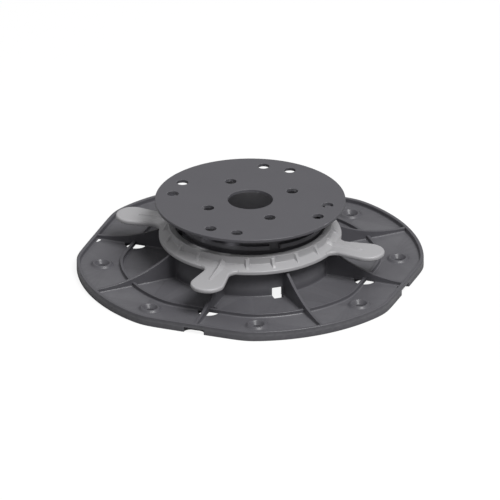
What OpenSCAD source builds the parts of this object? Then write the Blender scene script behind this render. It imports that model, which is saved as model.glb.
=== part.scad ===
// Adjustable paving pedestal.
// A moulded base stands on the ground. A four-winged nut turns on the base's
// hub, and its thread lifts a round head that carries the slabs or the joists.
// The head can't turn, because four keys inside the hub run in gaps of its thread.
// Millimetres, +Z up, origin on the ground under the centre of the base.

/* [Base] */
// Width of the base between the ring rib and its rounded corners
outer_band = 24.8; // [22:0.1:32]
// How far each of the four straight sides cuts into the round base
side_cut = 4.8; // [3:0.1:7]
// Thickness of the base plate
plate_thickness = 3.2; // [2.6:0.1:3.6]
// Height of the lip round the edge of the base
lip_height = 5.9; // [5:0.1:7]
// Wall thickness of the lip
lip_wall = 2.1; // [1.6:0.1:2.6]
// Width of the notch in the middle of each straight side
notch_width = 12; // [8:0.5:16]
// Depth of the notch in the middle of each straight side
notch_depth = 4.4; // [3:0.1:5]

/* [Base ribs] */
// Thickness of the radial ribs and of the ring rib
rib_thickness = 1.8; // [1.4:0.1:2.2]
// Height of the ring rib
ring_height = 5.5; // [4.5:0.1:6.5]
// Width of the base between the hub and the ring rib's corners
inner_band = 28.2; // [26:0.1:36]
// How far each straight side cuts into the round ring rib
ring_side_cut = 3.7; // [2:0.1:5]
// Diameter of the drain hole where each straight rib crosses the ring
drain_diameter = 12.3; // [8:0.1:13]

/* [Base screws] */
// Distance from the ring rib's corners out to the screw holes' circle
screw_offset = 10.1; // [9:0.1:12]
// Diameter of the screw holes in the base
screw_hole = 5; // [4:0.1:6]

/* [Hub] */
// Wall thickness of the hub that carries the nut
hub_wall = 2.7; // [2.2:0.1:3.4]
// Height of the hub
hub_height = 19; // [17:0.1:19]

/* [Adjusting nut] */
// Wall of the nut's collar, outside its bore
collar_wall = 3.8; // [3:0.1:4.4]
// How far the nut's flange stands out past the collar
flange_width = 5.3; // [4.6:0.1:7]
// Height of the nut
nut_height = 9; // [8.9:0.1:9.2]
// How far each wing reaches out past the flange
wing_length = 29.1; // [25:0.1:34]
// Thickness of the wings
wing_thickness = 2.9; // [2.2:0.1:3.2]
// Number of stiffening gussets round the collar
gusset_count = 20; // [12:4:28]

/* [Head] */
// Height of the top of the head above the ground, as drawn
head_top = 43; // [42.8:0.1:46]
// Thickness of the head's disc
disc_thickness = 1.9; // [1.6:0.1:3]
// Width of the disc's rim outside the outer fixing holes
disc_rim = 6.51; // [4:0.01:12]
// Diameter of the hole in the middle of the disc
centre_hole = 26; // [20:0.5:40]
// Diameter of the fixing holes in the disc
fixing_hole = 6.5; // [4:0.1:7]
// Bolt circle of the four inner fixing holes
inner_circle = 53.24; // [48:0.01:60]
// Width of the land between the stem and the outer fixing holes
outer_land = 1.09; // [0.8:0.01:4]
// Half the angle between the two outer fixing holes of a pair
pair_half_angle = 10.24; // [8:0.01:16]

/* [Thread] */
// Axial distance from one turn of the thread to the next
pitch = 6; // [6:0.1:6.1]
// Core diameter of the head's stem
stem_diameter = 81.6; // [78:0.1:86]
// Height of the thread's ridge above the stem
thread_depth = 2.2; // [1.8:0.1:2.6]
// Wall thickness of the head's stem
stem_wall = 2.9; // [2:0.1:4]
// Height of the stem's lower end above the ground, as drawn
stem_foot = 8.5; // [8.4:0.1:10]

/* [Hidden] */
$fn = 96;
slack = 0.01;                // cutters pass this far beyond the faces they open
body_gap = 0.3;              // standing gap between two pieces
dark_plastic = "#65656A";
light_plastic = "#AFAFB2";
quarter = 90;

// The sizes grow outwards from the stem: thread, hub, ring rib, edge of the base.
stem_radius = stem_diameter / 2;
crest_radius = stem_radius + thread_depth;
hub_play = 1.3;              // radial play of the thread's crest in the hub
bore_radius = crest_radius + hub_play;
hub_radius = bore_radius + hub_wall;
ring_radius = hub_radius + inner_band;
ring_flat = ring_radius - ring_side_cut;
base_radius = ring_radius + outer_band;
base_flat = base_radius - side_cut;
screw_radius = ring_radius + screw_offset;
drain_centre = ring_flat - 1.4;
rib_count = 8;

// Radial ribs: a hollow arc from the lip up to the hub.
rib_toe = 5.5;
rib_toe_inset = 5;
rib_hub_height = hub_height + 1.8;
rib_trim = 0.5;              // the ribs stop this far below the top of the hub

// Raised, countersunk screw bosses.
boss_foot = screw_hole / 2 + 4.5;
boss_crest = screw_hole / 2 + 2.7;
boss_land = screw_hole / 2 + 1.8;
boss_rise = 1.3;
sink_foot = plate_thickness - 1;

notch_corner = 2.5;

// Hub windows and keys stand beside the diagonal ribs.
window_height = 8;
window_width = 6.4;
window_reach = hub_radius + 4;
key_foot = window_height + 0.6;
key_relief = 0.5;            // the bore is this much wider below the keys
key_width = 5;
key_play = 0.7;              // radial play of the keys over the stem
key_tip = stem_radius + key_play;
key_angle = 309.45;

// Nut.
nut_play = 0.5;              // radial play of the thread's crest in the nut
nut_bore = crest_radius + nut_play;
nut_base = hub_height + body_gap;
nut_top = nut_base + nut_height;
collar_radius = nut_bore + collar_wall;
flange_radius = collar_radius + flange_width;
flange_height = 2.9;
flange_edge = 0.6;
shoulder_height = 4.7;       // where the flange's top meets the collar
gusset_thickness = 1.6;
gusset_foot = 1.4;           // the gussets end this far inside the flange's rim
gusset_knee = 4.2;
gusset_head = 0.7;           // and stand this far out from the collar at the top
gusset_drop = 0.9;
wing_reach = flange_radius + wing_length;
wing_tip_radius = 9.9;
wing_neck_half = 7.8;
wing_neck_out = 4.4;         // the wing is narrowest this far out from the flange
wing_root_radius = 5.5;
wing_rib_end = 13.2;         // the wing's rib ends this far from the tip
wing_rib_out = 3;
wing_rib_rise = 1;

// Head.
disc_base = head_top - disc_thickness;
outer_radius = stem_radius + outer_land + fixing_hole / 2;
head_radius = outer_radius + fixing_hole / 2 + disc_rim;

// Thread flanks: half the axial width of each ridge at its root and its crest.
ridge_root_half = 1.8;
ridge_crest_half = 1.25;
nut_root_half = 1.4;
nut_crest_half = 0.9;
nut_crest_radius = stem_radius + 0.45;
root_sink = 0.8;             // how far each ridge is rooted in the wall that carries it
thread_gap_angle = 8.4;      // where the keys run through the head's thread
nut_gap_angle = 12;
thread_phase = 31.95;        // height of the head's ridge at thread_phase_angle
thread_phase_angle = 290;
thread_foot = 3;             // the lowest ridge starts this far above the stem's end
thread_head = 3.5;           // and the highest ends this far under the disc
lead_angle = atan(pitch / (PI * (stem_radius + crest_radius)));

// Round plate outline with four straight sides.
module flatted_circle(radius, flat) {
    intersection() {
        circle(r = radius);
        square(2 * flat, center = true);
    }
}

// Wall of one thickness along a flatted circle.
module flatted_wall(radius, flat, wall, height) {
    linear_extrude(height)
        difference() {
            flatted_circle(radius, flat);
            flatted_circle(radius - wall, flat - wall);
        }
}

// ---------------------------------------------------------------- base

// Rib profile: radius across, height up; the top edge is a hollow arc.
module rib_profile() {
    arc_x = base_radius - rib_toe_inset;
    run = arc_x - hub_radius;
    rise = rib_hub_height - rib_toe;
    arc_radius = (run * run + rise * rise) / (2 * rise);
    rib_foot = base_radius - lip_wall / 2;
    rib_head = hub_height - rib_trim;
    difference() {
        translate([hub_radius - hub_wall / 2, 0])
            square([rib_foot - hub_radius + hub_wall / 2, rib_head]);
        translate([arc_x, rib_toe + arc_radius])
            circle(r = arc_radius);
        translate([arc_x, rib_toe])
            square([base_radius, rib_head]);
    }
}

module radial_ribs() {
    for (i = [0 : rib_count - 1])
        rotate([0, 0, i * 360 / rib_count])
            rotate([90, 0, 0])
                linear_extrude(rib_thickness, center = true)
                    rib_profile();
}

// Ribs trimmed to the inside of the lip.
module trimmed_ribs() {
    intersection() {
        radial_ribs();
        linear_extrude(hub_height)
            flatted_circle(base_radius - lip_wall / 2, base_flat - lip_wall / 2);
    }
}

// Low cone round a screw hole.
module screw_boss() {
    rotate_extrude()
        polygon([
            [0, plate_thickness / 2],
            [boss_foot, plate_thickness / 2],
            [boss_foot, plate_thickness],
            [boss_crest, plate_thickness + boss_rise],
            [0, plate_thickness + boss_rise]
        ]);
}

// Countersunk hole through a screw boss.
module screw_cutter() {
    boss_top = plate_thickness + boss_rise;
    rotate_extrude()
        polygon([
            [0, -slack],
            [screw_hole / 2, -slack],
            [screw_hole / 2, sink_foot],
            [boss_land, boss_top],
            [boss_land, boss_top + slack],
            [0, boss_top + slack]
        ]);
}

module at_screws() {
    for (i = [0 : rib_count - 1])
        rotate([0, 0, (i + 0.5) * 360 / rib_count])
            translate([screw_radius, 0, 0])
                children();
}

// Edge notch with rounded inner corners, cut through the plate's thickness only.
module edge_notch() {
    inner = base_flat - notch_depth;
    reach = notch_depth + notch_corner;
    translate([0, 0, -slack])
        linear_extrude(plate_thickness + slack) {
            translate([inner + notch_corner, -notch_width / 2])
                square([reach, notch_width]);
            translate([inner, -notch_width / 2 + notch_corner])
                square([reach, notch_width - 2 * notch_corner]);
            for (side = [-1, 1])
                translate([inner + notch_corner, side * (notch_width / 2 - notch_corner)])
                    circle(r = notch_corner);
        }
}

// Drain hole under the crossing of a rib and the ring.
module drain_hole() {
    translate([drain_centre, 0, -slack])
        cylinder(d = drain_diameter, h = plate_thickness + slack);
}

// Window at the foot of the hub, open through the plate beneath it.
module hub_window() {
    inner = bore_radius - hub_wall;
    rotate([0, 0, key_angle]) {
        translate([inner, -window_width / 2, -slack])
            cube([window_reach - inner, window_width, plate_thickness + slack]);
        translate([inner, -window_width / 2, -slack])
            cube([hub_radius + 1 - inner, window_width, window_height + slack]);
    }
}

// Plan of the hub's bore, with the four keys that stop the head from turning.
module keyed_bore() {
    difference() {
        circle(r = bore_radius);
        for (i = [0 : 3])
            rotate(key_angle + i * quarter)
                translate([key_tip, -key_width / 2])
                    square([hub_wall + hub_play, key_width]);
    }
}

// Everything that stands on the plate, still without its openings.
module base_blank() {
    linear_extrude(plate_thickness)
        flatted_circle(base_radius, base_flat);
    flatted_wall(base_radius, base_flat, lip_wall, lip_height);
    flatted_wall(ring_radius, ring_flat, rib_thickness, ring_height);
    trimmed_ribs();
    cylinder(r = hub_radius, h = hub_height);
    at_screws()
        screw_boss();
}

module base() {
    color(dark_plastic)
        difference() {
            base_blank();
            translate([0, 0, -slack])
                cylinder(r = bore_radius + key_relief, h = key_foot + slack);
            translate([0, 0, key_foot - slack])
                linear_extrude(hub_height - key_foot + 2 * slack)
                    keyed_bore();
            at_screws()
                screw_cutter();
            for (i = [0 : 3])
                rotate([0, 0, i * quarter]) {
                    edge_notch();
                    drain_hole();
                    hub_window();
                }
        }
}

// ---------------------------------------------------------------- thread

// Height of the head's ridge at an angle; the thread is left-handed.
function ridge_height(angle) = thread_phase - pitch * (angle - thread_phase_angle) / 360;

// One length of ridge: a ring sector tipped by the thread's lead angle.
module ridge_sector(angle, arc, height, profile) {
    translate([0, 0, height])
        rotate([0, 0, angle])
            rotate([-lead_angle, 0, 0])
                rotate([0, 0, -arc / 2])
                    rotate_extrude(angle = arc)
                        polygon(profile);
}

// ---------------------------------------------------------------- nut

// Plan of one wing, with its root rounded into the flange.
module wing_plan() {
    neck_at = flange_radius + wing_neck_out;
    tip_at = wing_reach - wing_tip_radius;
    root_y = wing_neck_half + wing_root_radius;
    root_x = sqrt(pow(flange_radius + wing_root_radius, 2) - pow(root_y, 2));
    touch = flange_radius / (flange_radius + wing_root_radius);
    translate([tip_at, 0])
        circle(r = wing_tip_radius);
    polygon([
        [collar_radius, -wing_neck_half],
        [neck_at, -wing_neck_half],
        [tip_at, -wing_tip_radius],
        [tip_at, wing_tip_radius],
        [neck_at, wing_neck_half],
        [collar_radius, wing_neck_half]
    ]);
    difference() {
        polygon([
            [collar_radius, -root_y * touch],
            [root_x * touch, -root_y * touch],
            [root_x, -root_y],
            [root_x, root_y],
            [root_x * touch, root_y * touch],
            [collar_radius, root_y * touch]
        ]);
        for (side = [-1, 1])
            translate([root_x, side * root_y])
                circle(r = wing_root_radius);
    }
}

// Collar and flange in one turned section.
module nut_body() {
    rotate_extrude()
        polygon([
            [nut_bore, nut_base],
            [flange_radius - flange_edge, nut_base],
            [flange_radius, nut_base + flange_edge],
            [flange_radius, nut_base + flange_height - 1.5 * flange_edge],
            [flange_radius - flange_edge, nut_base + flange_height - flange_edge / 2],
            [collar_radius, nut_base + shoulder_height],
            [collar_radius, nut_top - flange_edge],
            [collar_radius - flange_edge, nut_top],
            [nut_bore, nut_top]
        ]);
}

// Gusset between the collar and the flange.
module gusset() {
    inner = collar_radius - collar_wall / 4;
    outer = flange_radius - gusset_foot;
    rotate([90, 0, 0])
        linear_extrude(gusset_thickness, center = true)
            polygon([
                [inner, nut_base + flange_edge],
                [outer, nut_base + flange_edge],
                [outer, nut_base + flange_height],
                [outer - gusset_head - flange_edge, nut_base + gusset_knee],
                [collar_radius + gusset_head, nut_top - gusset_drop],
                [inner, nut_top - flange_edge]
            ]);
}

// Long rib on top of a wing.
module wing_rib() {
    inner = collar_radius - collar_wall / 4;
    outer = flange_radius - gusset_foot;
    rib_end = wing_reach - wing_rib_end;
    rotate([90, 0, 0])
        linear_extrude(gusset_thickness, center = true)
            polygon([
                [inner, nut_base + flange_edge],
                [rib_end, nut_base + flange_edge],
                [rib_end, nut_base + wing_thickness],
                [flange_radius + wing_rib_out, nut_base + wing_thickness + wing_rib_rise],
                [outer - gusset_head - flange_edge, nut_base + gusset_knee + flange_edge],
                [collar_radius + gusset_head, nut_top - gusset_drop],
                [inner, nut_top - flange_edge]
            ]);
}

// Internal thread: four lengths of ridge that make one turn.
module nut_thread() {
    profile = [
        [nut_crest_radius, -nut_crest_half],
        [nut_bore + root_sink, -nut_root_half],
        [nut_bore + root_sink, nut_root_half],
        [nut_crest_radius, nut_crest_half]
    ];
    nut_middle = nut_base + nut_height / 2;
    // Turns of the head's ridge between its phase height and the nut's middle.
    start_angle = thread_phase_angle + 360 * (thread_phase + pitch / 2 - nut_middle) / pitch;
    for (i = [-1.5 : 1 : 1.5]) {
        angle = start_angle + i * quarter;
        ridge_sector(angle, quarter - nut_gap_angle, nut_middle - i * pitch / 4, profile);
    }
}

module adjusting_nut() {
    color(light_plastic)
        union() {
            nut_body();
            nut_thread();
            for (i = [0 : gusset_count - 1])
                rotate([0, 0, i * 360 / gusset_count])
                    gusset();
            for (i = [0 : 3])
                rotate([0, 0, i * quarter]) {
                    translate([0, 0, nut_base])
                        linear_extrude(wing_thickness)
                            wing_plan();
                    wing_rib();
                }
        }
}

// ---------------------------------------------------------------- head

// Disc with its holes.
module disc_plan() {
    difference() {
        circle(r = head_radius);
        circle(d = centre_hole);
        for (i = [0 : 3])
            rotate(i * quarter) {
                rotate(quarter / 2)
                    translate([inner_circle / 2, 0])
                        circle(d = fixing_hole);
                for (side = [-1, 1])
                    rotate(side * pair_half_angle)
                        translate([outer_radius, 0])
                            circle(d = fixing_hole);
            }
    }
}

// External thread, one sector between each pair of key gaps.
module head_thread() {
    profile = [
        [stem_radius - root_sink, -ridge_root_half],
        [crest_radius, -ridge_crest_half],
        [crest_radius, ridge_crest_half],
        [stem_radius - root_sink, ridge_root_half]
    ];
    first_angle = key_angle + quarter / 2;
    lowest = stem_foot + thread_foot;
    highest = disc_base - thread_head;
    for (i = [-8 : 24]) {
        angle = first_angle + i * quarter;
        height = ridge_height(angle);
        if (height > lowest && height < highest)
            ridge_sector(angle, quarter - thread_gap_angle, height, profile);
    }
}

module head() {
    color(dark_plastic)
        union() {
            translate([0, 0, disc_base])
                linear_extrude(disc_thickness)
                    disc_plan();
            // Turned so that the tube's seam lies in a key gap, clear of the ridges.
            translate([0, 0, stem_foot])
                rotate([0, 0, key_angle])
                    linear_extrude(disc_base - stem_foot + disc_thickness / 2)
                        difference() {
                            circle(r = stem_radius);
                            circle(r = stem_radius - stem_wall);
                        }
            head_thread();
        }
}

base();
adjusting_nut();
head();
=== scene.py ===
"""Adjustable paving pedestal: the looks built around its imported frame.

A dark moulded base and a dark threaded head, with a light grey four-winged
nut between them. Sizes are written in millimetres, in the frame's own axes,
and are scaled to metres once, where a mesh is made.
"""

import logging
import math
from collections.abc import Sequence
from dataclasses import dataclass, field
from enum import Enum

import bmesh
import bpy
import numpy as np
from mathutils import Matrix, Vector
from mathutils.geometry import delaunay_2d_cdt


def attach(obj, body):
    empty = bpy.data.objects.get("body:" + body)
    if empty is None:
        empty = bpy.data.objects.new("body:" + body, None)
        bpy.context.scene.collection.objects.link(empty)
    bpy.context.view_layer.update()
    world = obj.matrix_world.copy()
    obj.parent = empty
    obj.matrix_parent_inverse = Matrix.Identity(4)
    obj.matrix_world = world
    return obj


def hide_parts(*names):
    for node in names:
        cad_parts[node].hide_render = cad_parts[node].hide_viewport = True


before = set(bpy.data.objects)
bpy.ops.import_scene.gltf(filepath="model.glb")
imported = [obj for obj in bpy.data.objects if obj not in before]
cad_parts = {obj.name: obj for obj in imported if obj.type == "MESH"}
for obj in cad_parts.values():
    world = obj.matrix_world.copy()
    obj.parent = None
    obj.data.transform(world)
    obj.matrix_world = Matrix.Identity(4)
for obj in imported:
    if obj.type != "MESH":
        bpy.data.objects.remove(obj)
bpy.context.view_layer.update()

MM = 0.001
SAME_POINT = 1e-5
TURN = 2 * np.pi
log = logging.getLogger("pedestal")
Array = np.ndarray


class Body(Enum):
    """The rigid bodies of the frame."""

    BASE = "base"
    NUT = "nut"
    HEAD = "head"


class Slot(Enum):
    """The record's material slots."""

    DARK = "dark_moulding"
    LIGHT = "light_moulding"


# ---------------------------------------------------------------- plan curves

def polar(radius: Array | float, angle: Array | float) -> Array:
    """Points at a radius and an angle: (r cos a, r sin a).

    Args:
        radius: Radii in millimetres.
        angle: Angles in radians.

    Returns:
        Points in the plane, coordinates last.
    """
    radius, angle = np.broadcast_arrays(radius, angle)
    return np.stack([radius * np.cos(angle), radius * np.sin(angle)], axis=-1)


def turned(points: Array, angle: float) -> Array:
    """Points turned about the frame's axis: (c x - s y, s x + c y), heights kept.

    Args:
        points: Plane or space points, coordinates last.
        angle: Angle in radians.

    Returns:
        The turned points, in the same layout.
    """
    out = np.array(points, float)
    c, s = math.cos(angle), math.sin(angle)
    out[..., 0] = c * points[..., 0] - s * points[..., 1]
    out[..., 1] = s * points[..., 0] + c * points[..., 1]
    return out


def left_normals(path: Array, closed: bool = True) -> Array:
    """Unit normals to the left of a path: its tangent turned a quarter left.

    Args:
        path: Points (n, 2).
        closed: Whether the last point joins the first.

    Returns:
        Normals (n, 2). On a closed path that runs anticlockwise they point in.
    """
    if closed:
        tangent = np.roll(path, -1, axis=0) - np.roll(path, 1, axis=0)
    else:
        tangent = np.gradient(path, axis=0)
    tangent /= np.linalg.norm(tangent, axis=1, keepdims=True)
    return np.stack([-tangent[:, 1], tangent[:, 0]], axis=1)


def circle(radius: float, count: int, centre: Sequence[float] = (0.0, 0.0)) -> Array:
    """A circle of count points, anticlockwise."""
    return polar(radius, np.arange(count) * TURN / count) + np.asarray(centre)


def rounded_corners(points: Sequence[Sequence[float]], radii: Sequence[float],
                    steps: int = 5) -> Array:
    """A polygon with its corners rounded.

    Each corner is swapped for the arc that touches both its sides:
    the centre lies on the corner's bisector, radius / sin(half angle) away.

    Args:
        points: Corners in order.
        radii: Radius at each corner; 0 leaves it sharp.
        steps: Points on each arc.

    Returns:
        The points (n, 2) of the open or closed chain, corner by corner.
    """
    corner = np.asarray(points, float)
    before = np.roll(corner, 1, axis=0) - corner
    after = np.roll(corner, -1, axis=0) - corner
    before /= np.linalg.norm(before, axis=1, keepdims=True)
    after /= np.linalg.norm(after, axis=1, keepdims=True)
    half = np.arccos(np.clip((before * after).sum(axis=1), -1, 1)) / 2
    pieces = []
    for k, radius in enumerate(radii):
        if radius <= 0:
            pieces.append(corner[k:k + 1])
            continue
        reach = radius / math.tan(half[k])
        middle = before[k] + after[k]
        middle *= radius / math.sin(half[k]) / np.linalg.norm(middle)
        start, end = before[k] * reach - middle, after[k] * reach - middle
        t = np.linspace(0, 1, steps)[:, None]
        span = math.acos(np.clip(start @ end / radius ** 2, -1, 1))
        arc = (np.sin((1 - t) * span) * start + np.sin(t * span) * end) / math.sin(span)
        pieces.append(corner[k] + middle + arc)
    return np.concatenate(pieces)


@dataclass(frozen=True)
class FlattedCircle:
    """A circle cut by four straight sides, its corners eased."""

    radius: float
    flat: float
    ease: float

    @property
    def half_angle(self) -> float:
        """Half the angle of a straight side: arccos(flat / radius)."""
        return math.acos(self.flat / self.radius)

    def reach(self, angle: Array) -> Array:
        """Distance from the axis: the lesser of R and F / cos a, eased where they meet.

        It is R - e ln(1 + exp((R - F / cos a) / e)), with a the angle from
        the nearest straight side's middle and e the ease.

        Args:
            angle: Angles in radians.

        Returns:
            Distances in millimetres.
        """
        off = (angle + np.pi / 4) % (np.pi / 2) - np.pi / 4
        past = (self.radius - self.flat / np.cos(off)) / self.ease
        return self.radius - self.ease * np.logaddexp(0, past)

    def outline(self, arc_steps: int, flat_steps: int) -> Array:
        """Closed anticlockwise outline.

        Args:
            arc_steps: Even steps of angle on each arc.
            flat_steps: Even steps of length on each straight side.

        Returns:
            Points (n, 2).
        """
        h = self.half_angle
        side = np.arctan(np.linspace(-1, 1, flat_steps + 1)[:-1] * math.tan(h))
        arc = np.linspace(h, np.pi / 2 - h, arc_steps + 1)[:-1]
        quarter = np.concatenate([side, arc])
        angle = (quarter[None, :] + np.arange(4)[:, None] * np.pi / 2).ravel()
        return polar(self.reach(angle), angle)

    def inset(self, distance: float) -> "FlattedCircle":
        """The same form a distance further in."""
        return FlattedCircle(self.radius - distance, self.flat - distance, self.ease)


# ------------------------------------------------------------- edge profiles

def quarter_round(radius: float, steps: int = 4) -> Array:
    """(inset, height) rows of a rounded edge: (r - r sin t, r - r cos t)."""
    t = np.linspace(0, np.pi / 2, steps + 1)
    return np.stack([radius * (1 - np.sin(t)), radius * (1 - np.cos(t))], axis=1)


def rounded_side(bottom: float, top: float, low: float, high: float, steps: int = 4) -> Array:
    """Rows (inset, height) up a wall with both its edges rounded.

    Args:
        bottom: Height of the lower face.
        top: Height of the upper face.
        low: Radius of the lower edge; 0 leaves it sharp.
        high: Radius of the upper edge; 0 leaves it sharp.
        steps: Steps round each edge.

    Returns:
        Rows (k, 2), from the lower face to the upper.
    """
    rows = []
    if low > 0:
        rows.append(quarter_round(low, steps) + (0, bottom))
    else:
        rows.append(np.array([[0.0, bottom]]))
    if high > 0:
        rows.append(quarter_round(high, steps)[::-1] * (1, -1) + (0, top))
    else:
        rows.append(np.array([[0.0, top]]))
    return np.concatenate(rows)


# ------------------------------------------------------------------- shells

class Shell:
    """Gathers closed surfaces of one piece, in millimetres."""

    def __init__(self) -> None:
        """Starts empty."""
        self._points: list[Array] = []
        self._faces: list[tuple[int, ...]] = []
        self._level: list[range] = []
        self._count = 0

    def add(self, points: Array) -> Array:
        """Adds points.

        Args:
            points: Points (..., 3).

        Returns:
            Their numbers, in the same layout (...).
        """
        flat = np.asarray(points, float).reshape(-1, 3)
        numbers = np.arange(len(flat)) + self._count
        self._points.append(flat)
        self._count += len(flat)
        return numbers.reshape(np.shape(points)[:-1])

    def quads(self, numbers: Array, wrap_rows: bool, wrap_columns: bool) -> None:
        """Quads between neighbouring rows and columns.

        Args:
            numbers: Point numbers (rows, columns).
            wrap_rows: Whether the last row joins the first.
            wrap_columns: Whether the last column joins the first.
        """
        rows = np.concatenate([numbers, numbers[:1]]) if wrap_rows else numbers
        net = np.concatenate([rows, rows[:, :1]], axis=1) if wrap_columns else rows
        quads = np.stack([net[:-1, :-1], net[:-1, 1:], net[1:, 1:], net[1:, :-1]], axis=-1)
        self._faces += list(map(tuple, quads.reshape(-1, 4).tolist()))

    def grid(self, points: Array, wrap_rows: bool = False, wrap_columns: bool = True) -> Array:
        """Adds a surface on a grid of points.

        Args:
            points: Points (rows, columns, 3).
            wrap_rows: Whether the last row joins the first.
            wrap_columns: Whether the last column joins the first.

        Returns:
            The numbers of its points (rows, columns).
        """
        numbers = self.add(points)
        self.quads(numbers, wrap_rows, wrap_columns)
        return numbers

    def cap(self, ring: Array) -> None:
        """Closes a ring of points with one face."""
        self._faces.append(tuple(int(k) for k in ring))

    def tube(self, points: Array) -> None:
        """A closed section carried along an open path, with its ends closed.

        Args:
            points: Points (section, path, 3).
        """
        numbers = self.grid(points, wrap_rows=True, wrap_columns=False)
        self.cap(numbers[:, 0])
        self.cap(numbers[::-1, -1])

    def fill(self, loops: Sequence[Array]) -> None:
        """Fills the flat region between closed loops of point numbers.

        A constrained Delaunay mesh is made of all the loops; a triangle stays
        where a ray from its middle crosses the loops an odd number of times.

        Args:
            loops: Numbers of points that lie in one level plane.
        """
        numbers = np.concatenate(loops)
        plan = np.concatenate(self._points)[numbers][:, :2]
        starts = np.cumsum([0] + [len(loop) for loop in loops])
        edges = np.concatenate([
            np.stack([np.arange(a, b), np.roll(np.arange(a, b), -1)], axis=1)
            for a, b in zip(starts[:-1], starts[1:])])
        found = delaunay_2d_cdt([Vector(p) for p in plan], edges.tolist(), [], 0, SAME_POINT)
        source = np.array([own[0] if own else -1 for own in found[3]])
        triangles = source[np.array(found[2])]
        triangles = triangles[(triangles >= 0).all(axis=1)]
        middle = plan[triangles].mean(axis=1)
        a, b = plan[edges[:, 0]], plan[edges[:, 1]]
        above = (a[None, :, 1] > middle[:, None, 1]) != (b[None, :, 1] > middle[:, None, 1])
        rise = np.where(a[:, 1] == b[:, 1], 1.0, b[:, 1] - a[:, 1])
        cross = a[:, 0] + (middle[:, 1:2] - a[:, 1]) * (b[:, 0] - a[:, 0]) / rise
        inside = (above & (middle[:, 0:1] < cross)).sum(axis=1) % 2 == 1
        first = len(self._faces)
        self._faces += list(map(tuple, numbers[triangles[inside]].tolist()))
        self._level.append(range(first, len(self._faces)))

    def build(self, name: str, material: bpy.types.Material, crease: float = 38.0) -> bpy.types.Object:
        """Makes the object: level fills flat, the rest smooth but for edges past the crease.

        Args:
            name: The piece's name.
            material: Its finish.
            crease: Angle in degrees past which an edge stays sharp.

        Returns:
            The object, at the origin, with its faces turned outwards.
        """
        mesh = bpy.data.meshes.new(name)
        points = np.concatenate(self._points) * MM
        mesh.from_pydata(points.tolist(), [], self._faces)
        work = bmesh.new()
        work.from_mesh(mesh)
        bmesh.ops.recalc_face_normals(work, faces=work.faces)
        work.to_mesh(mesh)
        work.free()
        smooth = np.ones(len(mesh.polygons), bool)
        for fill in self._level:
            smooth[fill.start:fill.stop] = False
        mesh.polygons.foreach_set("use_smooth", smooth)
        mesh.set_sharp_from_angle(angle=math.radians(crease))
        mesh.materials.append(material)
        piece = bpy.data.objects.new(name, mesh)
        bpy.context.collection.objects.link(piece)
        even = piece.modifiers.new("even_shading", "WEIGHTED_NORMAL")
        even.keep_sharp = True
        return piece


@dataclass(frozen=True)
class Rim:
    """One edge of a plate: a closed plan curve and the rows of its side.

    A row (d, z) lies at curve + d * inward, at height z, where inward points
    into the plate's material. A margin adds a level row that much further in
    on both faces, so that what an edge does to the finish stays beside it.
    """

    curve: Array
    rows: Array
    hole: bool = False
    margin: float = 0.0

    def surface(self) -> Array:
        """Points (rows, n, 3) of the side and its margins."""
        inward = left_normals(self.curve) * (-1 if self.hole else 1)
        rows = self.rows
        if self.margin > 0:
            rows = np.concatenate([rows[:1] + (self.margin, 0), rows, rows[-1:] + (self.margin, 0)])
        return swept(self.curve[None] + rows[:, :1, None] * inward[None], rows[:, 1])


def plate(shell: Shell, rims: Sequence[Rim]) -> None:
    """A flat plate with edges of any profile: sides on grids, faces filled between them.

    Args:
        shell: Where it goes.
        rims: Its outer edge and its holes.
    """
    sides = [shell.grid(rim.surface()) for rim in rims]
    shell.fill([side[-1] for side in sides])
    shell.fill([side[0] for side in sides])


def swept(plan: Array, height: Array) -> Array:
    """Points (rows, columns, 3) from their plan (rows, columns, 2) and the height of each row."""
    level = np.broadcast_to(height[:, None, None], (*plan.shape[:2], 1))
    return np.concatenate([plan, level], axis=2)


def turned_ring(shell: Shell, section: Array, angles: int) -> None:
    """A closed section turned round the axis: (r cos a, r sin a, z).

    Args:
        shell: Where it goes.
        section: Rows (radius, height), closed.
        angles: Columns round the axis.
    """
    plan = polar(section[:, :1], np.arange(angles)[None] * TURN / angles)
    shell.grid(swept(plan, section[:, 1]), wrap_rows=True)


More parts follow.
